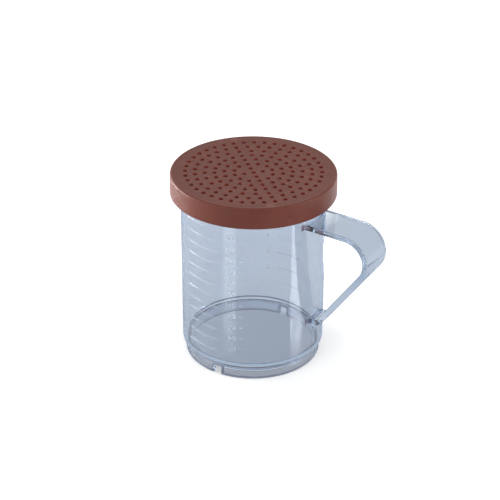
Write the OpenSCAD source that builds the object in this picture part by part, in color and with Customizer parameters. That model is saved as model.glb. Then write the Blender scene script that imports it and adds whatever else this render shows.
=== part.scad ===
// Handled shaker for ground spice, salt, sugar or grated cheese. A clear moulded cup with a strap
// handle and a push-on lid that is pierced all over by rings of holes.
// The origin is on the cup's axis at the table, +Z points up and the handle points along +X.

/* [Cup] */
// Height of the rim above the table
cup_h = 93.5; // [80:0.5:120]
// Outside diameter of the wall just under the rim's collar
cup_top_d = 69.9; // [66:0.1:84]
// Outside diameter of the wall just above its rounded heel
cup_low_d = 69.5; // [68.5:0.1:71]
// Thickness of the wall
wall_t = 2.2; // [1.5:0.1:3]
// Height of the inside floor above the table
floor_h = 8.5; // [7:0.1:12]
// Thickness of the floor
floor_t = 2.2; // [1.5:0.1:2.8]
// Radius of the rounded heel between the wall and the foot
heel_r = 3.7; // [2:0.1:4]
// Radius of the fillet between the inside floor and the wall
inside_fillet_r = 0.6; // [0.4:0.1:3]

/* [Foot] */
// Outside diameter of the foot ring
foot_d = 66.2; // [65:0.1:67.5]
// Height of the foot ring
foot_h = 4.3; // [2:0.1:4.6]
// Thickness of the foot ring
foot_t = 2.2; // [1.5:0.1:4]
// Depth of the step between the heel and the foot ring
foot_step = 0.4; // [0.2:0.1:0.8]
// Rounding of the foot ring's lower edges
foot_edge_r = 0.4; // [0.2:0.1:0.7]
// Width of each drain notch through the foot ring
notch_w = 4.5; // [2:0.1:8]

/* [Rim] */
// Outward step of the wall at the collar that carries the lid
collar_out = 2.45; // [2:0.05:4]
// Height of the collar from its shoulder to the rim
collar_h = 6; // [5:0.1:9]
// Rounding of the rim's two edges
rim_edge_r = 0.5; // [0.2:0.1:0.8]

/* [Handle] */
// Reach of the handle from the wall under the collar to its outermost point
handle_reach = 32.1; // [26:0.05:40]
// Distance from the rim down to the top of the handle at the wall
handle_drop = 13; // [10:0.1:24]
// Fall of the top run towards the bend, in degrees
handle_fall = 1.5; // [0:0.5:6]
// Height of the lower tab's underside above the table
tab_h = 25.4; // [18:0.1:32]
// Distance from the wall under the collar to where the tab starts to turn up
tab_reach = 2.6; // [2:0.05:6]
// Width of the strap from the wall to the end of its large bend
strap_w = 19.5; // [12:0.1:26]
// Width of the strap at the tab, to which it narrows down the straight run
tab_w = 12; // [8:0.1:19]
// Thickness of the strap
strap_t = 2.7; // [1.8:0.1:3.2]
// Outside radius of the large bend at the top
bend_r = 13; // [8:0.1:15]
// Outside radius of the small bend at the tab
elbow_r = 5; // [3.4:0.1:6]

/* [Lid] */
// Thickness of the pierced top
lid_t = 2.2; // [1.6:0.1:3]
// Height of the lid's crest above the rim that it sits on
lid_rise = 2.45; // [2:0.05:3]
// Depth of the dished top at its centre, below the crest
dish_depth = 0.8; // [0.4:0.1:1]
// Radius of the rounded edge between the top and the skirt
lid_edge_r = 1.25; // [0.5:0.05:2]
// Thickness of the skirt
skirt_t = 2; // [1.4:0.1:3]
// Depth of the skirt below the rim
skirt_h = 8; // [7.5:0.1:9.5]
// Outward flare of the skirt from its top to its lower edge
skirt_flare = 0.15; // [0:0.05:0.5]
// Gap between the collar and the skirt
lid_gap = 0.4; // [0.3:0.05:1]
// Gap between the collar and the snap bead as the lid lifts past it
bead_gap = 0.15; // [0.1:0.05:0.25]
// Height of the snap bead inside the skirt's lower edge
bead_h = 1.4; // [0.8:0.1:2]

/* [Holes] */
// Diameter of each hole
hole_d = 2.3; // [1.2:0.1:3]
// Diameter of each hole's softened mouth
mouth_d = 2.9; // [2.4:0.1:3.6]
// Depth of each hole's softened mouth
mouth_depth = 0.35; // [0.2:0.05:0.8]
// Width of the flat land around each ring of holes
land_w = 3.3; // [3:0.1:4]
// Distance between one ring of holes and the next
ring_pitch = 4.65; // [4.2:0.05:4.75]
// Angle from the handle to the ray on which every ring has a hole
hole_ray = 48.7; // [0:0.1:90]

/* [Hidden] */
$fn = 128;
// Steps along each rounded corner, and the sides of a hole
ARC_STEPS = 6;
HOLE_SIDES = 24;
// Overshoot of a cutter past the face that it cuts
CUT = 1;
// Depth by which the handle's straight runs lie inside its bends, so that their outlines cross
LAP = 0.001;
// Number of holes in each ring, from the one at the centre outwards
RING_HOLES = [1, 4, 12, 16, 24, 24, 32, 40];
// Angles of the two drain notches from the handle
NOTCH_ANGLES = [90, -90];

CLEAR = [0.78, 0.84, 0.9, 0.45];
TERRACOTTA = [0.47, 0.33, 0.31];

// The wall's two radii, with the straight wall between them
wall_top_r = cup_top_d / 2;
wall_low_r = cup_low_d / 2;
collar_r = wall_top_r + collar_out;
heel_top_z = foot_h + heel_r;
shoulder_z = cup_h - collar_h;
wall_top_z = shoulder_z - collar_out;
// A 45 degree step keeps the wall's thickness if its inside is this much higher
step_lift = wall_t * tan(22.5);
// The foot
foot_r = foot_d / 2;
foot_inner_r = foot_r - foot_t;
floor_under_z = floor_h - floor_t;
// The lid
lid_inner_r = collar_r + lid_gap;
lid_top_r = lid_inner_r + skirt_t;
lid_low_r = lid_top_r + skirt_flare;
crest_z = cup_h + lid_rise;
crest_r = lid_top_r - lid_edge_r;
skirt_z = cup_h - skirt_h;
bead_r = collar_r + bead_gap;
// The centre of each bend of the strap
bend_x = wall_top_r + handle_reach - bend_r;
bend_z = cup_h - handle_drop - (bend_x - wall_top_r) * tan(handle_fall) - bend_r / cos(handle_fall);
elbow_x = wall_top_r + tab_reach;
elbow_z = tab_h + elbow_r;
// Slope of the straight run whose outer face touches both bends
centres_distance = norm([bend_x - elbow_x, bend_z - elbow_z]);
run_slope = atan2(bend_z - elbow_z, bend_x - elbow_x) - asin((bend_r - elbow_r) / centres_distance);
// Height at which the strap leaves the large bend and starts to narrow
taper_z = bend_z - bend_r * cos(run_slope);

// Points along an arc of the profile, from one angle to another
function arc(r, z, radius, from, to) =
    [for (i = [0 : ARC_STEPS]) let (a = from + (to - from) * i / ARC_STEPS)
        [r + radius * cos(a), z + radius * sin(a)]];

// Outside of the cup from the step above the foot up to the collar, on a given side of the axis
heel_end = -acos((foot_r - foot_step - wall_low_r + heel_r) / heel_r);
function cup_outline() = concat(
    arc(foot_inner_r + foot_edge_r, foot_edge_r, foot_edge_r, 180, 270),
    arc(foot_r - foot_edge_r, foot_edge_r, foot_edge_r, -90, 0),
    [[foot_r, foot_h], [foot_r - foot_step, foot_h]],
    arc(wall_low_r - heel_r, heel_top_z, heel_r, heel_end, 0),
    [[wall_top_r, wall_top_z], [collar_r, shoulder_z]],
    arc(collar_r - rim_edge_r, cup_h - rim_edge_r, rim_edge_r, 0, 90));

// Inside of the cup from the rim down to the floor
function cup_bore() = concat(
    arc(collar_r - wall_t + rim_edge_r, cup_h - rim_edge_r, rim_edge_r, 90, 180),
    [[collar_r - wall_t, shoulder_z + step_lift], [wall_top_r - wall_t, wall_top_z + step_lift]],
    arc(wall_low_r - wall_t - inside_fillet_r, floor_h + inside_fillet_r, inside_fillet_r, 0, -90));

// Height of the dished top at a distance from the axis, and of the face under it
function top_z(r) = crest_z - dish_depth * (1 - pow(r / crest_r, 2));
function under_z(r) = min(cup_h, top_z(r) - lid_t);

// The dish climbs in ramps between flat lands, one land under each ring of holes, given as the
// land's inner and outer edge with the height of its ring
LANDS = [for (k = [0 : len(RING_HOLES) - 1], side = [-1, 1]) if (k > 0 || side > 0)
    [k * ring_pitch + side * land_w / 2, k * ring_pitch]];

// The solid that the cup's outside encloses, used to trim the handle to the wall
module cup_outside() {
    rotate_extrude()
        polygon(concat([[0, 0]], [for (p = cup_outline()) if (p[0] > foot_r - foot_step - CUT) p],
            [[0, cup_h]]));
}

// The cup, with its stepped collar, floor, rounded heel and drained foot ring
module cup_body() {
    color(CLEAR)
    difference() {
        rotate_extrude()
            polygon(concat([[0, floor_under_z], [foot_inner_r, floor_under_z]], cup_outline(), cup_bore(),
                [[0, floor_h]]));
        for (angle = NOTCH_ANGLES)
            rotate(angle)
                translate([foot_inner_r - CUT, -notch_w / 2, -CUT])
                    cube([foot_t + 2 * CUT, notch_w, foot_h + CUT]);
    }
}

// All that the handle's outer face encloses back to the cup's axis, set in by a depth
module handle_block(depth, width) {
    tangent = depth + LAP;
    bend = [bend_x, bend_z];
    elbow = [elbow_x, elbow_z];
    run_normal = [sin(run_slope), -cos(run_slope)];
    rotate([90, 0, 0]) {
        translate(bend)
            cylinder(r = bend_r - depth, h = width, center = true);
        translate(elbow)
            cylinder(r = elbow_r - depth, h = width, center = true);
        linear_extrude(height = width, center = true)
            polygon([
                [0, bend_z + (bend_r - tangent) / cos(handle_fall) + bend_x * tan(handle_fall)],
                bend + (bend_r - tangent) * [sin(handle_fall), cos(handle_fall)],
                bend + (bend_r - tangent) * run_normal,
                elbow + (elbow_r - tangent) * run_normal,
                elbow - [0, elbow_r - tangent],
                [0, elbow_z - elbow_r + tangent]]);
    }
}

// The strap's breadth at each height, seen along the X axis, as a solid that its two sides bound
module strap_breadth() {
    over_z = cup_h - handle_drop + CUT;
    rotate([90, 0, 90])
        linear_extrude(height = bend_x + bend_r + CUT)
            polygon([
                [-tab_w / 2, tab_h - CUT], [tab_w / 2, tab_h - CUT], [tab_w / 2, elbow_z],
                [strap_w / 2, taper_z], [strap_w / 2, over_z],
                [-strap_w / 2, over_z], [-strap_w / 2, taper_z], [-tab_w / 2, elbow_z]]);
}

// The strap handle: a top run, a large bend, a straight run that narrows to the small bend, and a tab
module handle() {
    color(CLEAR)
    difference() {
        intersection() {
            handle_block(0, strap_w + 2 * CUT);
            strap_breadth();
        }
        handle_block(strap_t, strap_w + 4 * CUT);
        cup_outside();
    }
}

// Profile of the lid from the centre of its top out, down the skirt and back under the top
module lid_section() {
    polygon(concat(
        [[0, top_z(0)]],
        [for (p = LANDS) [p[0], top_z(p[1])]],
        arc(crest_r, crest_z - lid_edge_r, lid_edge_r, 90, 0),
        [[lid_low_r, skirt_z], [bead_r, skirt_z], [bead_r, skirt_z + bead_h]],
        [[lid_inner_r, skirt_z + bead_h + lid_inner_r - bead_r], [lid_inner_r, cup_h]],
        [for (i = [len(LANDS) - 1 : -1 : 0]) [LANDS[i][0], under_z(LANDS[i][1])]],
        [[0, under_z(0)]]));
}

// One hole with its softened mouth, on the land at its distance from the axis
module lid_hole(r) {
    taper = (mouth_d - hole_d) / 2;
    translate([r, 0, top_z(r)])
        rotate_extrude($fn = HOLE_SIDES)
            polygon([
                [0, -lid_t - CUT],
                [hole_d / 2, -lid_t - CUT],
                [hole_d / 2, -mouth_depth],
                [mouth_d / 2 + taper, mouth_depth],
                [0, mouth_depth]]);
}

// The push-on lid, dished on top, with its rings of holes
module shaker_lid() {
    color(TERRACOTTA)
    difference() {
        rotate_extrude()
            lid_section();
        for (k = [0 : len(RING_HOLES) - 1], i = [0 : RING_HOLES[k] - 1])
            rotate(hole_ray + i * 360 / RING_HOLES[k])
                lid_hole(k * ring_pitch);
    }
}

cup_body();
handle();
shaker_lid();
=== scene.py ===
"""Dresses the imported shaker: a clear moulded cup with its strap handle and raised measuring marks,
and a push-on terracotta lid pierced by rings of holes. All lengths are in metres."""
import math
from functools import reduce

import bmesh
import bpy
from mathutils import Matrix, Vector


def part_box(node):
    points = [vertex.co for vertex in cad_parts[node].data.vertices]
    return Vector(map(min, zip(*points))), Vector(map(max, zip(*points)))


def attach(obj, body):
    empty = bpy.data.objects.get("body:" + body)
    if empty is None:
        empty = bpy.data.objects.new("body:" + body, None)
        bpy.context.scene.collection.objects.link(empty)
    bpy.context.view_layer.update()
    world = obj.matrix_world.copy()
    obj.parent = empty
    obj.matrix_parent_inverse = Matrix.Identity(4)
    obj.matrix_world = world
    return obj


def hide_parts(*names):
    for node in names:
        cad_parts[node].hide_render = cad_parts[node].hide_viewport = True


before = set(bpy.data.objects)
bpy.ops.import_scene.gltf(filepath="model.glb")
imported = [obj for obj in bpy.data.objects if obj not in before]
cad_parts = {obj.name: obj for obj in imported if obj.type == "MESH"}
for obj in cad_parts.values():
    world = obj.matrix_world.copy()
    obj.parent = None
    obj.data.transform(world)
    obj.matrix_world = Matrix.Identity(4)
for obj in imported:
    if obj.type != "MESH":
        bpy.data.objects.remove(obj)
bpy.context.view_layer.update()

MM = 0.001
TURN = 2 * math.pi
SCENE = bpy.context.scene

# ---------------------------------------------------------------------------------------------
# Sizes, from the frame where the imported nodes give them
# ---------------------------------------------------------------------------------------------
cup_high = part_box("cup_body")[1]
handle_low, handle_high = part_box("handle")
lid_low, lid_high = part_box("shaker_lid")

CUP_H = cup_high.z
COLLAR_R = cup_high.x
COLLAR_H = 6 * MM
COLLAR_STEP = 2.45 * MM
WALL_T = 2.2 * MM
WALL_TOP_R = COLLAR_R - COLLAR_STEP
WALL_TAPER = 0.2 * MM
WALL_LOW_R = WALL_TOP_R - WALL_TAPER
BORE_LOW_R = WALL_LOW_R - WALL_T
SHOULDER_Z = CUP_H - COLLAR_H
WALL_TOP_Z = SHOULDER_Z - COLLAR_STEP
FLOOR_Z = 8.5 * MM
FLOOR_T = 2.2 * MM
FLOOR_CORNER_R = 0.6 * MM
FOOT_R = 33.1 * MM
FOOT_T = 2.2 * MM
FOOT_H = 4.3 * MM
FOOT_STEP = 0.4 * MM
HEEL_R = 3.7 * MM
HEEL_TOP_Z = FOOT_H + HEEL_R
NOTCH_W = 4.5 * MM
NOTCH_EDGE_R = 0.4 * MM

# The strap leaves the wall near the rim, turns on the bend and the elbow, and comes back to the
# wall as the tab. Both of its ends stop at ROOT_X, inside the wall
STRAP_W = handle_high.y - handle_low.y
STRAP_T = 2.7 * MM
STRAP_EDGE_R = 0.45 * MM
STRAP_FALL = math.radians(1.5)
TAB_W = 12 * MM
TAB_Z = handle_low.z
HANDLE_TOP_Z = CUP_H - 13 * MM
BEND_R = 13 * MM
BEND_X = handle_high.x - BEND_R
ELBOW_R = 5 * MM
ELBOW_X = WALL_TOP_R + 2.6 * MM
ROOT_X = 33.05 * MM

LID_LOW_R = lid_high.x
LID_TOP_R = LID_LOW_R - 0.15 * MM
LID_EDGE_R = 1.25 * MM
LID_T = 2.2 * MM
CREST_Z = lid_high.z
CREST_R = LID_TOP_R - LID_EDGE_R
DISH_DEPTH = 0.8 * MM
SKIRT_Z = lid_low.z
SKIRT_INNER_R = COLLAR_R + 0.4 * MM
BEAD_R = COLLAR_R + 0.15 * MM
BEAD_H = 1.4 * MM

# Holes in each ring, from the middle outwards; every ring starts on the same ray
RING_HOLES = (1, 4, 12, 16, 24, 24, 32, 40)
RING_PITCH = 4.65 * MM
HOLE_RAY = math.radians(48.7)
HOLE_R = 1.15 * MM
MOUTH_R = 1.5 * MM
LIP_ARC = math.radians(72)
# A hole's cutter ends this much wider than its mouth, and this far above it
CUTTER_FLARE = 0.05 * MM
CUTTER_RISE = 0.5 * MM

# The ring that the moulding gate leaves on the skirt, drawn as a bent wire
GATE_TURN = math.radians(-34.6)
GATE_R = 0.6 * MM
GATE_WIRE_R = 0.14 * MM

# ---------------------------------------------------------------------------------------------
# Mesh helpers
# ---------------------------------------------------------------------------------------------
LATHE_STEPS = 384
# A point of an outline that is no further than this from the Z axis lies on it
POLE_R = 1e-7


def mesh_object(name, bm):
    """A new object from a bmesh, with its faces turned outwards."""
    bmesh.ops.recalc_face_normals(bm, faces=bm.faces)
    mesh = bpy.data.meshes.new(name)
    bm.to_mesh(mesh)
    bm.free()
    obj = bpy.data.objects.new(name, mesh)
    SCENE.collection.objects.link(obj)
    return obj


def polar(radius, angle, z):
    """The point at a distance and a turn from the Z axis."""
    return Vector((radius * math.cos(angle), radius * math.sin(angle), z))


def rounded(corners, steps=6):
    """An outline whose corners (r, z, radius) are rounded; a radius of 0 stays sharp."""
    outline = []
    for i, (r, z, radius) in enumerate(corners):
        here = Vector((r, z))
        if radius == 0:
            outline.append(here)
            continue
        before = (Vector(corners[i - 1][:2]) - here).normalized()
        after = (Vector(corners[(i + 1) % len(corners)][:2]) - here).normalized()
        half = before.angle(after) / 2
        centre = here + (before + after).normalized() * radius / math.sin(half)
        start = here + before * radius / math.tan(half) - centre
        sweep = start.angle_signed(here + after * radius / math.tan(half) - centre)
        for k in range(steps + 1):
            turn = Matrix.Rotation(-sweep * k / steps, 2)
            outline.append(centre + turn @ start)
    return outline


def lathe(name, outline):
    """A closed outline of (r, z) turned about the Z axis; points on the axis become poles."""
    bm = bmesh.new()
    rings = []
    for r, z in outline:
        steps = LATHE_STEPS if r > POLE_R else 1
        rings.append([bm.verts.new(polar(r, TURN * k / steps, z)) for k in range(steps)])
    for here, there in zip(rings, rings[1:] + rings[:1]):
        if len(here) == 1 and len(there) == 1:
            continue
        for k in range(LATHE_STEPS):
            n = (k + 1) % LATHE_STEPS
            corners = (here[k % len(here)], here[n % len(here)],
                       there[n % len(there)], there[k % len(there)])
            bm.faces.new(list(dict.fromkeys(corners)))
    return mesh_object(name, bm)


def bridge(bm, rings):
    """Faces from each ring of vertices to the next."""
    for here, there in zip(rings, rings[1:]):
        for k in range(len(here)):
            n = (k + 1) % len(here)
            bm.faces.new((here[k], here[n], there[n], there[k]))


def bar(bm, rings):
    """A closed solid: rings of vertices bridged in turn, with a cap at either end."""
    bridge(bm, rings)
    bm.faces.new(list(reversed(rings[0])))
    bm.faces.new(rings[-1])


def carve(obj, other, operation):
    """Joins another closed solid to this one, or cuts it away, and deletes the other."""
    cut = obj.modifiers.new("carve", "BOOLEAN")
    cut.operation = operation
    cut.solver = "MANIFOLD"
    cut.object = other
    depsgraph = bpy.context.evaluated_depsgraph_get()
    mesh = bpy.data.meshes.new_from_object(obj.evaluated_get(depsgraph))
    obj.modifiers.clear()
    old = obj.data
    obj.data = mesh
    bpy.data.meshes.remove(old)
    bpy.data.objects.remove(other)


def merged(name, objects):
    """One object that holds several separate closed solids."""
    bm = bmesh.new()
    for obj in objects:
        bm.from_mesh(obj.data)
        bpy.data.objects.remove(obj)
    return mesh_object(name, bm)


def smooth(obj, angle):
    """Smooth shading, with edges sharper than an angle kept sharp and flat faces kept flat."""
    obj.data.shade_smooth()
    obj.data.set_sharp_from_angle(angle=math.radians(angle))
    weight = obj.modifiers.new("weighted normals", "WEIGHTED_NORMAL")
    weight.keep_sharp = True


# ---------------------------------------------------------------------------------------------
# The clear cup with its handle and measuring marks
# ---------------------------------------------------------------------------------------------
HEEL_STEPS = 10
BEND_STEPS = 40
ELBOW_STEPS = 14


def wall_r(z):
    """Outside radius of the slightly tapered wall at a height."""
    share = (z - HEEL_TOP_Z) / (WALL_TOP_Z - HEEL_TOP_Z)
    return WALL_LOW_R + (WALL_TOP_R - WALL_LOW_R) * share


def cup_shell():
    """The cup itself: foot ring, heel, wall, stepped collar, bore and floor."""
    under_z = FLOOR_Z - FLOOR_T
    ledge_r = FOOT_R - FOOT_STEP
    heel_r = WALL_LOW_R - HEEL_R
    heel_start = -math.acos((ledge_r - heel_r) / HEEL_R)
    heel = []
    for k in range(HEEL_STEPS + 1):
        angle = heel_start * (1 - k / HEEL_STEPS)
        heel.append((heel_r + HEEL_R * math.cos(angle), HEEL_TOP_Z + HEEL_R * math.sin(angle), 0))
    # The collar spreads at 45 degrees, so the bore's corners lie this much above the wall's
    lift = WALL_T * math.tan(math.radians(22.5))
    corners = [
        (0, under_z, 0),
        (FOOT_R - FOOT_T, under_z, 1.0 * MM),
        (FOOT_R - FOOT_T, 0, 0.4 * MM),
        (FOOT_R, 0, 0.4 * MM),
        (FOOT_R, FOOT_H, 0.15 * MM),
        (ledge_r, FOOT_H, 0.1 * MM),
        *heel,
        (WALL_TOP_R, WALL_TOP_Z, 1.2 * MM),
        (COLLAR_R, SHOULDER_Z, 0.6 * MM),
        (COLLAR_R, CUP_H, 0.5 * MM),
        (COLLAR_R - WALL_T, CUP_H, 0.5 * MM),
        (COLLAR_R - WALL_T, SHOULDER_Z + lift, 1.2 * MM),
        (WALL_TOP_R - WALL_T, WALL_TOP_Z + lift, 0.6 * MM),
        (BORE_LOW_R, FLOOR_Z, FLOOR_CORNER_R),
        (0, FLOOR_Z, 0),
    ]
    return lathe("clear_cup", rounded(corners))


def drain_notches():
    """Two blocks that cut the drain notches through the foot ring, in line with the Y axis."""
    overrun = 1 * MM
    blocks = []
    for side in (1, -1):
        bm = bmesh.new()
        bmesh.ops.create_cube(bm, size=1)
        bmesh.ops.scale(bm, verts=bm.verts, vec=(NOTCH_W, 3 * FOOT_T, FOOT_H + overrun))
        middle = (0, side * (FOOT_R - FOOT_T / 2), (FOOT_H - overrun) / 2)
        bmesh.ops.translate(bm, verts=bm.verts, vec=middle)
        top_edges = []
        for edge in bm.edges:
            one, other = (vert.co for vert in edge.verts)
            if abs(one.y - other.y) > FOOT_T and one.z > 0:
                top_edges.append(edge)
        bmesh.ops.bevel(bm, geom=top_edges, offset=NOTCH_EDGE_R, segments=4, affect="EDGES",
                        profile=0.5)
        blocks.append(mesh_object("notch", bm))
    return merged("notches", blocks)


def strap_path():
    """Points (x, z), headings and half widths of the strap's outer face, from wall to wall."""
    start_z = HANDLE_TOP_Z - (BEND_X - WALL_TOP_R) * math.tan(STRAP_FALL)
    bend_z = start_z - BEND_R / math.cos(STRAP_FALL)
    elbow_z = TAB_Z + ELBOW_R
    gap_x, gap_z = BEND_X - ELBOW_X, bend_z - elbow_z
    slope = math.atan2(gap_z, gap_x) - math.asin((BEND_R - ELBOW_R) / math.hypot(gap_x, gap_z))
    path = []
    for x, z, radius, half, start, end, steps in (
            (BEND_X, bend_z, BEND_R, STRAP_W / 2, -STRAP_FALL, slope - math.pi, BEND_STEPS),
            (ELBOW_X, elbow_z, ELBOW_R, TAB_W / 2, slope - math.pi, -math.pi, ELBOW_STEPS)):
        for k in range(steps + 1):
            heading = start + (end - start) * k / steps
            normal = heading + math.pi / 2
            path.append((x + radius * math.cos(normal), z + radius * math.sin(normal), heading, half))
    x, z, heading, half = path[0]
    path.insert(0, (ROOT_X, z + (x - ROOT_X) * math.tan(STRAP_FALL), heading, half))
    x, z, heading, half = path[-1]
    path.append((ROOT_X, z, heading, half))
    return path


def strap_handle():
    """The strap, swept along its path with softened edges; both of its ends stop in the wall."""
    bm = bmesh.new()
    rings = []
    for x, z, heading, half in strap_path():
        section = rounded([(-half, 0, STRAP_EDGE_R), (half, 0, STRAP_EDGE_R),
                           (half, STRAP_T, STRAP_EDGE_R), (-half, STRAP_T, STRAP_EDGE_R)], 5)
        rings.append([bm.verts.new((x + math.sin(heading) * depth, across,
                                    z - math.cos(heading) * depth)) for across, depth in section])
    bar(bm, rings)
    return mesh_object("strap", bm)


MARK_RISE = 0.1 * MM
MARK_SINK = 0.4 * MM
TICK_W = 0.45 * MM
DIGIT_H = 2.5 * MM
# The ends of a line sink until they are this far inside the wall, so that they don't glint
END_SINK = MARK_RISE + 0.02 * MM

# Heights of the measuring marks: the cup holds nothing at BASE_Z, and each 20 ml is one step up
BASE_Z = 8.56 * MM
STEP_20_ML = 5.986 * MM
STEP_1_OZ = 8.85 * MM

# Where the marks lie round the wall, in degrees from the handle
ML_LONG_LINE = (-119.9, -86.4)
ML_SHORT_LINE = (-70.3, -66.7)
ML_NUMBER_END = -72.6
OZ_LINE = (73.3, 99.3)
OZ_NUMBER_START = 106.0


def tick(z, start, end):
    """A low rounded ridge round the wall at a height, between two angles in degrees."""
    half = TICK_W / 2
    section = ((-MARK_SINK, -half), (0, -half), (MARK_RISE * 0.7, -half * 0.6), (MARK_RISE, 0),
               (MARK_RISE * 0.7, half * 0.6), (0, half), (-MARK_SINK, half))
    steps = max(2, round(end - start))
    bm = bmesh.new()
    rings = []
    for k in range(steps + 1):
        angle = math.radians(start + (end - start) * k / steps)
        sink = END_SINK if k in (0, steps) else 0
        rings.append([bm.verts.new(polar(wall_r(z) + rise - sink, angle, z + up))
                      for rise, up in section])
    bar(bm, rings)
    return mesh_object("tick", bm)


def number(text, z, edge, align):
    """A raised plain number on the wall, centred on a height, with one edge at so many degrees."""
    curve = bpy.data.curves.new("number", "FONT")
    curve.body = text
    curve.size = 1
    curve.extrude = 0.5
    curve.resolution_u = 3
    curve.align_x = align
    curve.align_y = "BOTTOM"
    obj = bpy.data.objects.new("number", curve)
    SCENE.collection.objects.link(obj)
    depsgraph = bpy.context.evaluated_depsgraph_get()
    mesh = bpy.data.meshes.new_from_object(obj.evaluated_get(depsgraph))
    bpy.data.objects.remove(obj)
    bm = bmesh.new()
    bm.from_mesh(mesh)
    bpy.data.meshes.remove(mesh)
    bmesh.ops.remove_doubles(bm, verts=bm.verts, dist=1e-5)
    low = min(v.co.y for v in bm.verts)
    scale = DIGIT_H / (max(v.co.y for v in bm.verts) - low)
    for v in bm.verts:
        depth = MARK_RISE if v.co.z > 0 else -MARK_SINK
        up = z + (v.co.y - low) * scale - DIGIT_H / 2
        angle = math.radians(edge) + v.co.x * scale / wall_r(z)
        v.co = polar(wall_r(up) + depth, angle, up)
    return mesh_object("number", bm)


def measuring_marks():
    """Raised lines and plain numbers on both sides of the wall, every 10 ml and every ounce."""
    marks = []
    for ml in range(10, 250, 10):
        z = BASE_Z + STEP_20_ML * ml / 20
        if ml % 20 == 0:
            marks.append(tick(z, *ML_LONG_LINE))
        else:
            if ml > 10:
                marks.append(number(str(ml), z, ML_NUMBER_END, "RIGHT"))
            marks.append(tick(z, *ML_SHORT_LINE))
    for oz in range(1, 9):
        z = BASE_Z + STEP_1_OZ * oz
        marks.append(tick(z, *OZ_LINE))
        marks.append(number(str(oz), z, OZ_NUMBER_START, "LEFT"))
    return merged("marks", marks)


def clear_cup():
    """The whole clear moulding as one solid."""
    cup = cup_shell()
    carve(cup, drain_notches(), "DIFFERENCE")
    carve(cup, strap_handle(), "UNION")
    carve(cup, measuring_marks(), "UNION")
    smooth(cup, 35)
    return cup


# ---------------------------------------------------------------------------------------------
# The lid
# ---------------------------------------------------------------------------------------------
DISH_STEPS = 16
HOLE_SIDES = 20
LIP_STEPS = 5
GATE_SIDES = 24
WIRE_SIDES = 8


def top_z(r):
    """Height of the lid's gently dished top at a distance from the axis."""
    return CREST_Z - DISH_DEPTH * (1 - (r / CREST_R) ** 2)


def lid_shell():
    """The lid without its holes: dished top, rounded edge, skirt, snap bead and seat."""
    # The dish is drawn point by point to a little outside the last ring of holes
    field_r = RING_PITCH * (len(RING_HOLES) - 0.4)
    radii = [field_r * k / DISH_STEPS for k in range(DISH_STEPS + 1)]
    over = [(r, top_z(r), 0) for r in radii]
    under = [(r, min(CUP_H, top_z(r) - LID_T), 0) for r in reversed(radii)]
    corners = [
        *over,
        (CREST_R - 0.6 * MM, CREST_Z - 0.12 * MM, 0.3 * MM),
        (CREST_R, CREST_Z, 0.5 * MM),
        (LID_TOP_R, CREST_Z, 1.1 * MM),
        (LID_LOW_R, SKIRT_Z, 0.3 * MM),
        (BEAD_R, SKIRT_Z, 0.3 * MM),
        (BEAD_R, SKIRT_Z + BEAD_H, 0),
        (SKIRT_INNER_R, SKIRT_Z + BEAD_H + SKIRT_INNER_R - BEAD_R, 0),
        (SKIRT_INNER_R, CUP_H, 0),
        *under,
    ]
    return lathe("shaker_cap", rounded(corners, 8))


def hole_cutters():
    """A cutter for every hole, with a softly rounded mouth."""
    lip = MOUTH_R - HOLE_R
    bm = bmesh.new()
    for ring, count in enumerate(RING_HOLES):
        z = top_z(ring * RING_PITCH)
        profile = [(HOLE_R, z - 2 * LID_T), (HOLE_R, z - lip)]
        for k in range(1, LIP_STEPS + 1):
            angle = LIP_ARC * k / LIP_STEPS
            profile.append((MOUTH_R - lip * math.cos(angle), z - lip + lip * math.sin(angle)))
        profile.append((MOUTH_R + CUTTER_FLARE, z + CUTTER_RISE))
        for k in range(count):
            centre = polar(ring * RING_PITCH, HOLE_RAY + TURN * k / count, 0)
            bar(bm, [[bm.verts.new(centre + polar(r, TURN * side / HOLE_SIDES, up))
                      for side in range(HOLE_SIDES)] for r, up in profile])
    return mesh_object("holes", bm)


def gate_mark():
    """The small ring that the moulding gate leaves on the skirt."""
    centre = Vector((LID_TOP_R + 0.09 * MM, 0, (SKIRT_Z + CREST_Z) / 2 - 0.3 * MM))
    turn = Matrix.Rotation(GATE_TURN, 3, "Z")
    bm = bmesh.new()
    rings = []
    for side in range(GATE_SIDES):
        angle = TURN * side / GATE_SIDES
        out = Vector((0, math.cos(angle), math.sin(angle)))
        ring = []
        for k in range(WIRE_SIDES):
            around = TURN * k / WIRE_SIDES
            proud = Vector((GATE_WIRE_R * math.sin(around), 0, 0))
            point = centre + out * (GATE_R + GATE_WIRE_R * math.cos(around)) + proud
            ring.append(bm.verts.new(turn @ point))
        rings.append(ring)
    bridge(bm, [*rings, rings[0]])
    return mesh_object("gate", bm)


def shaker_cap():
    """The whole lid as one solid."""
    lid = lid_shell()
    carve(lid, hole_cutters(), "DIFFERENCE")
    carve(lid, gate_mark(), "UNION")
    smooth(lid, 40)
    return lid


# ---------------------------------------------------------------------------------------------
# Node helpers
# ---------------------------------------------------------------------------------------------
def feed(tree, node, inputs):
    """Sets a node's inputs, each by its name or place: a socket is linked, a value is set."""
    for key, value in inputs.items():
        if isinstance(value, bpy.types.NodeSocket):
            tree.links.new(value, node.inputs[key])
        else:
            node.inputs[key].default_value = value


def add_node(tree, kind, inputs=None, **settings):
    """A new node with its settings and inputs; returns its outputs."""
    node = tree.nodes.new("ShaderNode" + kind)
    for name, value in settings.items():
        setattr(node, name, value)
    feed(tree, node, inputs or {})
    return node.outputs


def new_material(name):
    """A material, its node tree and its principled shader."""
    material = bpy.data.materials.new(name)
    material.use_nodes = True
    tree = material.node_tree
    return material, tree, tree.nodes["Principled BSDF"]


def maths(tree, operation, *values):
    """One maths step on numbers or sockets."""
    return add_node(tree, "Math", dict(enumerate(values)), operation=operation)[0]


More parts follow.
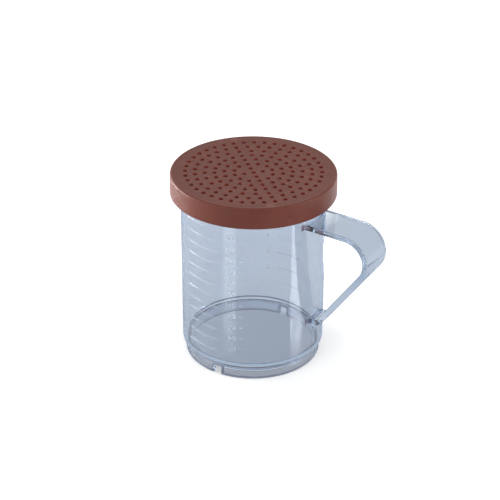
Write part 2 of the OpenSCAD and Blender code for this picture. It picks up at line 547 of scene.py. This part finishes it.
def all_of(tree, *masks):
    """Masks multiplied together: 1 where all of them are 1."""
    return reduce(lambda one, other: maths(tree, "MULTIPLY", one, other), masks)


def any_of(tree, *masks):
    """The highest of several masks."""
    return reduce(lambda one, other: maths(tree, "MAXIMUM", one, other), masks)


def below(tree, value, limit):
    """1 where a value is less than a limit, else 0."""
    return maths(tree, "LESS_THAN", value, limit)


def above(tree, value, limit):
    """1 where a value is more than a limit, else 0."""
    return maths(tree, "GREATER_THAN", value, limit)


def between(tree, value, low, high):
    """1 where a value lies between two limits, else 0."""
    return all_of(tree, above(tree, value, low), below(tree, value, high))


def ramp(tree, value, low, high, out_low=0, out_high=1):
    """A value taken from one range to another, clamped."""
    return add_node(tree, "MapRange", {"Value": value, "From Min": low, "From Max": high,
                                       "To Min": out_low, "To Max": out_high})["Result"]


def noise(tree, scale, detail=2.0):
    """Noise over the object's own coordinates, with a scale in features per metre."""
    place = add_node(tree, "TexCoord")["Object"]
    return add_node(tree, "TexNoise", {"Vector": place, "Scale": scale, "Detail": detail})["Fac"]


def bump(tree, height, strength, distance):
    """A normal that is tilted by a height."""
    return add_node(tree, "Bump", {"Height": height, "Strength": strength,
                                   "Distance": distance})["Normal"]


def blend_colours(tree, factor, one, other):
    """A colour between two, by a factor; each colour is a tuple or a socket."""
    one, other = ((*colour, 1) if isinstance(colour, tuple) else colour for colour in (one, other))
    return add_node(tree, "Mix", {0: factor, 6: one, 7: other}, data_type="RGBA")[2]


def mix_shaders(tree, factor, one, other):
    """A shader between two, by a factor."""
    return add_node(tree, "MixShader", {0: factor, 1: one, 2: other})[0]


def add_shaders(tree, one, other):
    """The sum of two shaders."""
    return add_node(tree, "AddShader", {0: one, 1: other})[0]


def coordinates(tree):
    """A point's x, y and z, its distance from the Z axis, and its normal as three sockets."""
    place = add_node(tree, "TexCoord")
    x, y, z = add_node(tree, "SeparateXYZ", {0: place["Object"]})
    normal = add_node(tree, "SeparateXYZ", {0: place["Normal"]})
    square = maths(tree, "ADD", maths(tree, "MULTIPLY", x, x), maths(tree, "MULTIPLY", y, y))
    return x, y, z, maths(tree, "SQRT", square), normal


# ---------------------------------------------------------------------------------------------
# Materials
# ---------------------------------------------------------------------------------------------
PLASTIC_IOR = 1.55
CUP_SHEEN = (0.8, 0.88, 1, 1)
ABSORPTION = {"Color": (0.2, 0.4, 0.6, 1), "Density": 25}
# Light that has turned back inside the clear wall this often is let out, before it is dropped
TRAPPED_DEPTH = 3.5

# The cup's colour where it isn't tinted, its outer skin's two tints, and the colours of its other
# regions, which are laid over one another in this order. The marks' milky colour is the plastic's
# own; the others are painted light and shade
UNTINTED = (1.0, 1.0, 1.0)
SKIN_TINTS = ((0.357, 0.407, 0.488), (0.381, 0.431, 0.511))
CUP_TINTS_AND_PAINTED_LIGHT = {
    # painted light: the floor's underside paler, to lift the shadow beneath the cup seen through it
    "under": (0.82, 0.88, 1.0),
    # painted shade: the foot ring and heel darker
    "heel": (0.31, 0.345, 0.43),
    # painted shade: dark lines at the floor's corner, the notches' rims and the foot's lower edge
    "crease_shade": (0.16, 0.18, 0.24),
    # painted light: the strap paler near the wall and along its lower run
    "strap_painted_paler": (0.82, 0.86, 0.92),
    # painted shade: the strap's up-facing softened edges darker
    "edges": (0.1, 0.115, 0.16),
    # painted shade: dark patches where the strap leaves the wall
    "root_shade": (0.05, 0.03, 0.04),
    "marks": (0.62, 0.67, 0.75),
}
# How milky and how rough the raised marks are; the numbers are milkier than the lines
MARK_MILK = 0.28
NUMBER_MILK = 0.05
MARK_ROUGHNESS = 0.16

# How far the regions reach past the edges that they follow
SLACK = 0.1 * MM
FOOT_RIM = 0.5 * MM
NOTCH_RIM_X = 0.7 * MM
NOTCH_RIM_Z = 0.6 * MM
# x times y is less than this where the wall carries numbers
NUMBER_XY = -1.5e-4
# The strap's region begins this far outside the wall, and reaches this far above its top end
STRAP_START = 0.4 * MM
STRAP_OVER = 0.5 * MM
# The strap is painted paler, as light, over this reach from the wall, and by this share along its
# lower run
PALE_REACH = 10 * MM
PALE_RUN = 0.2
PALE_RUN_Z = (0.5 * CUP_H, 0.65 * CUP_H)
# The strap's roots, where dark patches of shade are painted: half width, lowest height and reach
# along the strap, the upper one first, and how far their patches reach across its flanks and over
# the wall beside it
ROOTS = ((STRAP_W / 2, HANDLE_TOP_Z - STRAP_T, 4.5 * MM), (TAB_W / 2, TAB_Z, 2.4 * MM))
ROOT_IN = 0.3 * MM
ROOT_OUT = 0.2 * MM
ROOT_DEPTH = 0.15 * MM
ROOT_SPREAD = 1.7 * MM
# Limits of the normal's parts that pick the strap's softened edges, where shade is painted, and
# the holes' walls, where light is painted
EDGE_SIDEWAYS = (0.12, 0.9)
EDGE_UPWARD = (0, 0.3)
HOLE_UPWARD = (0.3, 0.8)
# How much a face is turned away, from where light begins to only bend in it to where all does
GRAZING = (0.45, 0.85)

LID_TINTS = ((0.135, 0.036, 0.024), (0.148, 0.041, 0.028))
LID_PALE_EDGE = (0.22, 0.075, 0.055)
PALE_EDGE_POINTINESS = (0.54, 0.62)
HOLE_PAINTED_LIGHT = (0.24, 0.048, 0.031)

# Noise: features per metre, and the levels between which a colour or a gloss changes
CUP_CLOUDS, CUP_GLOSS, CUP_RIPPLES = 18, 60, 45
LID_MOTTLE, LID_GLOSS, LID_GRAIN = 90, 240, 2600
COLOUR_SPAN = (0.35, 0.65)
GLOSS_SPAN = (0.3, 0.7)
CUP_ROUGHNESS = (0.01, 0.03)
LID_ROUGHNESS = (0.36, 0.46)


def strap_roots(tree, x, breadth, z, proud):
    """A mask of the small patches of painted shade on and beside the strap, where its two ends leave
    the wall.
    """
    patches = []
    for half, low, reach in ROOTS:
        level = between(tree, z, low - SLACK, low + STRAP_T + SLACK)
        flank = all_of(tree, between(tree, proud, 0, reach),
                       between(tree, breadth, half - ROOT_IN, half + ROOT_OUT))
        beside = all_of(tree, between(tree, proud, -ROOT_DEPTH, ROOT_DEPTH),
                        between(tree, breadth, half, half + ROOT_SPREAD))
        patches.append(all_of(tree, level, any_of(tree, flank, beside)))
    return all_of(tree, any_of(tree, *patches), above(tree, x, 0))


def cup_regions(tree):
    """Masks over the cup, by name, each 1 inside its region. Those in CUP_TINTS_AND_PAINTED_LIGHT are
    under: the underside of the floor, painted paler, as light, to lift the cup's shadow seen through
    it
    heel: the outside of the foot ring and of the heel, painted darker as shade
    crease: painted dark lines of shade at the corner round the floor, the drain notches' rims and the
    foot's lower edge
    joint: the strap, painted paler as light, most near the wall, less along its lower run
    edges: painted shade on the strap's softened long edges where they face up
    root: painted dark shade in small patches where the strap's ends leave the wall
    marks: the raised lines and numbers
    and the others are
    outer: everything outside the middle of the wall's thickness
    numbers: the numbers and the short lines, without the long ones."""
    x, y, z, radius, normal = coordinates(tree)

    border = ramp(tree, z, WALL_TOP_Z, SHOULDER_Z, WALL_TOP_R - WALL_T / 2, COLLAR_R - WALL_T / 2)
    inset = all_of(tree, below(tree, z, FOOT_H), FOOT_T / 2)
    outer = above(tree, radius, maths(tree, "SUBTRACT", border, inset))

    # Painted dark lines of shade: the corner round the floor and the drain notches' rims
    corner = all_of(tree, between(tree, z, FLOOR_Z - SLACK, FLOOR_Z + FLOOR_CORNER_R),
                    between(tree, radius, BORE_LOW_R - FLOOR_CORNER_R - SLACK,
                            BORE_LOW_R + WALL_TAPER))
    notch = all_of(tree, below(tree, maths(tree, "ABSOLUTE", x), NOTCH_W / 2 + NOTCH_RIM_X),
                   below(tree, z, FOOT_H + NOTCH_RIM_Z))

    wall = ramp(tree, z, HEEL_TOP_Z, WALL_TOP_Z, WALL_LOW_R, WALL_TOP_R)
    proud = maths(tree, "SUBTRACT", radius, wall)
    marks = all_of(tree, between(tree, proud, 0.3 * MARK_RISE, 2 * MARK_RISE),
                   between(tree, z, HEEL_TOP_Z, WALL_TOP_Z))

    # The strap: painted paler, as light, near the wall and along its lower run, and painted shade on
    # its softened edges where they face up
    on_strap = all_of(tree, above(tree, proud, STRAP_START),
                      between(tree, z, HEEL_TOP_Z, HANDLE_TOP_Z + STRAP_OVER))
    aslant = between(tree, maths(tree, "ABSOLUTE", normal[1]), *EDGE_SIDEWAYS)
    near_wall = ramp(tree, proud, 0, PALE_REACH, 1, 0)
    lower_run = ramp(tree, z, *PALE_RUN_Z, PALE_RUN, 0)
    return {
        "outer": outer,
        "under": between(tree, z, FOOT_H, FLOOR_Z - FLOOR_T / 2),
        "heel": all_of(tree, outer, between(tree, z, FOOT_RIM, HEEL_TOP_Z)),
        "crease_shade": any_of(tree, corner, notch, below(tree, z, FOOT_RIM)),
        "strap_painted_paler": all_of(tree, on_strap, any_of(tree, near_wall, lower_run)),
        "edges": all_of(tree, on_strap, aslant, ramp(tree, normal[2], *EDGE_UPWARD)),
        "root_shade": strap_roots(tree, x, maths(tree, "ABSOLUTE", y), z, proud),
        "marks": marks,
        "numbers": all_of(tree, marks, below(tree, maths(tree, "MULTIPLY", x, y), NUMBER_XY)),
    }


def clear_plastic():
    """Clear plastic with a faint smoky blue skin, and slow soft ripples in its faces."""
    material, tree, shader = new_material("clear_plastic")
    regions = cup_regions(tree)
    skin = blend_colours(tree, ramp(tree, noise(tree, CUP_CLOUDS), *COLOUR_SPAN), *SKIN_TINTS)
    colour = blend_colours(tree, regions["outer"], UNTINTED, skin)
    # The regions' colours laid over the skin: painted light and shade, and the marks' own milky
    # colour
    for region, tint in CUP_TINTS_AND_PAINTED_LIGHT.items():
        colour = blend_colours(tree, regions[region], colour, tint)
    milk = maths(tree, "ADD", all_of(tree, regions["marks"], MARK_MILK),
                 all_of(tree, regions["numbers"], NUMBER_MILK))
    gloss = ramp(tree, noise(tree, CUP_GLOSS), *GLOSS_SPAN, *CUP_ROUGHNESS)
    ripples = bump(tree, noise(tree, CUP_RIPPLES, 0), 0.25, 0.4 * MM)
    feed(tree, shader, {
        "Base Color": colour,
        "Transmission Weight": maths(tree, "SUBTRACT", 1, milk),
        "IOR": PLASTIC_IOR,
        "Specular Tint": CUP_SHEEN,
        "Roughness": maths(tree, "ADD", gloss, all_of(tree, regions["marks"], MARK_ROUGHNESS)),
        "Normal": ripples,
    })
    # Faces that light enters at a slant only bend it, with half the tint, so that the rounded
    # flanks of the cup stay clear
    pale = add_node(tree, "Gamma", {"Color": colour, "Gamma": 0.5})["Color"]
    through = add_node(tree, "BsdfRefraction", {"Color": pale, "IOR": PLASTIC_IOR,
                                                "Roughness": 0.02, "Normal": ripples})[0]
    slant = add_node(tree, "LayerWeight", {"Blend": 0.5})["Facing"]
    entering = maths(tree, "SUBTRACT", 1, add_node(tree, "NewGeometry")["Backfacing"])
    grazing = all_of(tree, ramp(tree, slant, *GRAZING), entering)
    surface = mix_shaders(tree, grazing, shader.outputs[0], through)
    trapped = above(tree, add_node(tree, "LightPath")["Glossy Depth"], TRAPPED_DEPTH)
    surface = mix_shaders(tree, trapped, surface, add_node(tree, "BsdfTransparent")[0])
    volume = add_node(tree, "VolumeAbsorption", ABSORPTION)["Volume"]
    feed(tree, tree.nodes["Material Output"], {"Surface": surface, "Volume": volume})
    return material


def lid_plastic():
    """Terracotta polypropylene: satin, finely grained, a little paler on its sharp edges,
    and painted lighter and warmer on the walls of its holes, as light shining through the thin
    plastic."""
    material, tree, shader = new_material("lid_plastic")
    colour = blend_colours(tree, ramp(tree, noise(tree, LID_MOTTLE, 3), *COLOUR_SPAN), *LID_TINTS)
    pale_edge = ramp(tree, add_node(tree, "NewGeometry")["Pointiness"], *PALE_EDGE_POINTINESS, 0, 0.5)
    colour = blend_colours(tree, pale_edge, colour, LID_PALE_EDGE)
    radius, normal = coordinates(tree)[3:]
    # Painted light: the holes' walls lighter and warmer, as if lit through the thin plastic
    upright = ramp(tree, maths(tree, "ABSOLUTE", normal[2]), *HOLE_UPWARD, 1, 0)
    in_hole = all_of(tree, below(tree, radius, CREST_R - 1 * MM), upright)
    feed(tree, shader, {
        "Base Color": blend_colours(tree, in_hole, colour, HOLE_PAINTED_LIGHT),
        "Roughness": ramp(tree, noise(tree, LID_GLOSS), *GLOSS_SPAN, *LID_ROUGHNESS),
        "Specular IOR Level": 0.18,
        "Normal": bump(tree, noise(tree, LID_GRAIN), 0.12, 0.1 * MM),
    })
    return material


# ---------------------------------------------------------------------------------------------
# Camera, floor and light
# ---------------------------------------------------------------------------------------------
CAMERA_AZIMUTH = math.radians(31.12)
CAMERA_ELEVATION = math.radians(28.73)
CAMERA_ROLL = math.radians(-0.29)
CAMERA_DISTANCE = 790.7 * MM
CAMERA_RIGHT = 1.713 * MM
CAMERA_UP = 36.90 * MM
SENSOR_MM = 36
FOCAL_PIXELS = 1665.6
FRAME_PIXELS = 500
AIM = Vector((0, 0, CREST_Z - DISH_DEPTH))

# The floor's radius, how far it lies below the foot, and the reach of the shade under the cup
FLOOR_R = 0.6
FLOOR_GAP = 0.05 * MM
SHADE_REACH = 25 * MM
WHITE = (1, 1, 1, 1)
FLOOR_COLOUR = (0.8, 0.8, 0.8, 1)
FLOOR_SEEN = (0.75, 0.75, 0.75, 1)
FLOOR_SHEEN = (0.25, 0.25, 0.25, 1)
# How open the floor is under the cup and away from it, and how strongly it glows there
OPENNESS = (0.2, 0.9)
GLOW = (0.15, 0.3)
PLAIN_GLOW = 0.2
FILL_COLOUR = (0.96, 0.98, 1, 1)
FILL_STRENGTH = 0.5

# Softboxes: name, azimuth, elevation, distance, width, height and watts
SOFTBOXES = (
    ("rim_left", -80, 8, 0.9, 0.66, 0.2, 12),
    ("rim_right", 165, 8, 0.9, 0.3, 0.2, 0.3),
    ("band_left", -6, 22.5, 0.88, 0.3, 0.16, 1.2),
    ("band_right", 105, 22.5, 0.88, 0.34, 0.16, 3.4),
    ("top", 31, 75, 1.0, 0.7, 0.7, 1.15),
)


def make_camera():
    """The camera of the catalogue view, aimed past the middle of the lid."""
    data = bpy.data.cameras.new("camera")
    data.sensor_width = SENSOR_MM
    data.lens = SENSOR_MM * FOCAL_PIXELS / FRAME_PIXELS
    camera = bpy.data.objects.new("camera", data)
    SCENE.collection.objects.link(camera)
    turn = Matrix.Rotation(CAMERA_AZIMUTH, 3, "Z")
    c, s = math.cos(CAMERA_ELEVATION), math.sin(CAMERA_ELEVATION)
    forward = turn @ Vector((0, c, -s))
    level_up = turn @ Vector((0, s, c))
    level_right = turn @ Vector((1, 0, 0))
    right = level_right * math.cos(CAMERA_ROLL) - level_up * math.sin(CAMERA_ROLL)
    up = level_right * math.sin(CAMERA_ROLL) + level_up * math.cos(CAMERA_ROLL)
    camera.location = AIM - right * CAMERA_RIGHT - up * CAMERA_UP - forward * CAMERA_DISTANCE
    rotation = Matrix((right, up, -forward)).transposed()
    camera.rotation_euler = rotation.to_euler()
    SCENE.camera = camera


def seen_directly(tree):
    """1 for rays from the camera, and for those that a gloss or a clear part passes on."""
    path = add_node(tree, "LightPath")
    return any_of(tree, path["Is Camera Ray"], path["Is Glossy Ray"], path["Is Transmission Ray"])


def make_floor():
    """A pale round floor that keeps a soft shadow and shows white up to its edge."""
    bm = bmesh.new()
    bmesh.ops.create_circle(bm, cap_ends=True, segments=96, radius=FLOOR_R)
    floor = mesh_object("floor", bm)
    floor.location.z = -FLOOR_GAP
    material, tree, shader = new_material("floor")
    feed(tree, shader, {"Base Color": FLOOR_COLOUR, "Roughness": 0.9, "Specular IOR Level": 0})
    # Seen directly it is white: the lamps' light, and a glow that fades close under the cup, which
    # paints a soft shadow there
    openness = add_node(tree, "AmbientOcclusion", {"Distance": SHADE_REACH})["AO"]
    glow = add_node(tree, "Emission", {"Strength": ramp(tree, openness, *OPENNESS, *GLOW)})[0]
    matt = add_shaders(tree, glow, add_node(tree, "BsdfDiffuse", {"Color": FLOOR_SEEN})[0])
    # Where the cup mirrors it, it mirrors the lamps in turn, as a glossy table would. A ray that
    # the cup bends counts as both glossy and transmitted, and for that the floor stays plain
    path = add_node(tree, "LightPath")
    mirrored = above(tree, path["Is Glossy Ray"], path["Is Transmission Ray"])
    plain = add_node(tree, "Emission", {"Strength": PLAIN_GLOW})[0]
    sheen = add_node(tree, "BsdfGlossy", {"Color": FLOOR_SHEEN, "Roughness": 0.08})[0]
    seen = add_shaders(tree, matt, mix_shaders(tree, mirrored, plain, sheen))
    surface = mix_shaders(tree, seen_directly(tree), shader.outputs[0], seen)
    feed(tree, tree.nodes["Material Output"], {"Surface": surface})
    floor.data.materials.append(material)


def make_world():
    """White where it is seen, and a plain even fill for the rest."""
    world = bpy.data.worlds.new("studio")
    SCENE.world = world
    world.use_nodes = True
    tree = world.node_tree
    fill = tree.nodes["Background"]
    feed(tree, fill, {"Color": FILL_COLOUR, "Strength": FILL_STRENGTH})
    white = add_node(tree, "Background", {"Color": WHITE, "Strength": 1})[0]
    surface = mix_shaders(tree, seen_directly(tree), fill.outputs[0], white)
    feed(tree, tree.nodes["World Output"], {"Surface": surface})


def softbox(name, azimuth, elevation, distance, width, height, watts):
    """A soft lamp that looks at the shaker from a direction given as for the camera."""
    data = bpy.data.lights.new(name, "AREA")
    data.shape = "RECTANGLE"
    data.size = width
    data.size_y = height
    data.energy = watts
    lamp = bpy.data.objects.new(name, data)
    SCENE.collection.objects.link(lamp)
    a, e = math.radians(azimuth), math.radians(elevation)
    back = Vector((math.sin(a) * math.cos(e), -math.cos(a) * math.cos(e), math.sin(e)))
    lamp.location = Vector((0, 0, CUP_H / 2)) + back * distance
    lamp.rotation_euler = (-back).to_track_quat("-Z", "Y").to_euler()
    lamp.visible_camera = False
    lamp.visible_transmission = False


# ---------------------------------------------------------------------------------------------
# The scene
# ---------------------------------------------------------------------------------------------
make_camera()

cup = clear_cup()
cup.data.materials.clear()
cup.data.materials.append(clear_plastic())
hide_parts("cup_body", "handle")
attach(cup, "cup")

lid = shaker_cap()
lid.data.materials.clear()
lid.data.materials.append(lid_plastic())
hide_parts("shaker_lid")
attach(lid, "lid")

make_floor()
make_world()
for lamp in SOFTBOXES:
    softbox(*lamp)
SCENE.view_settings.view_transform = "Standard"
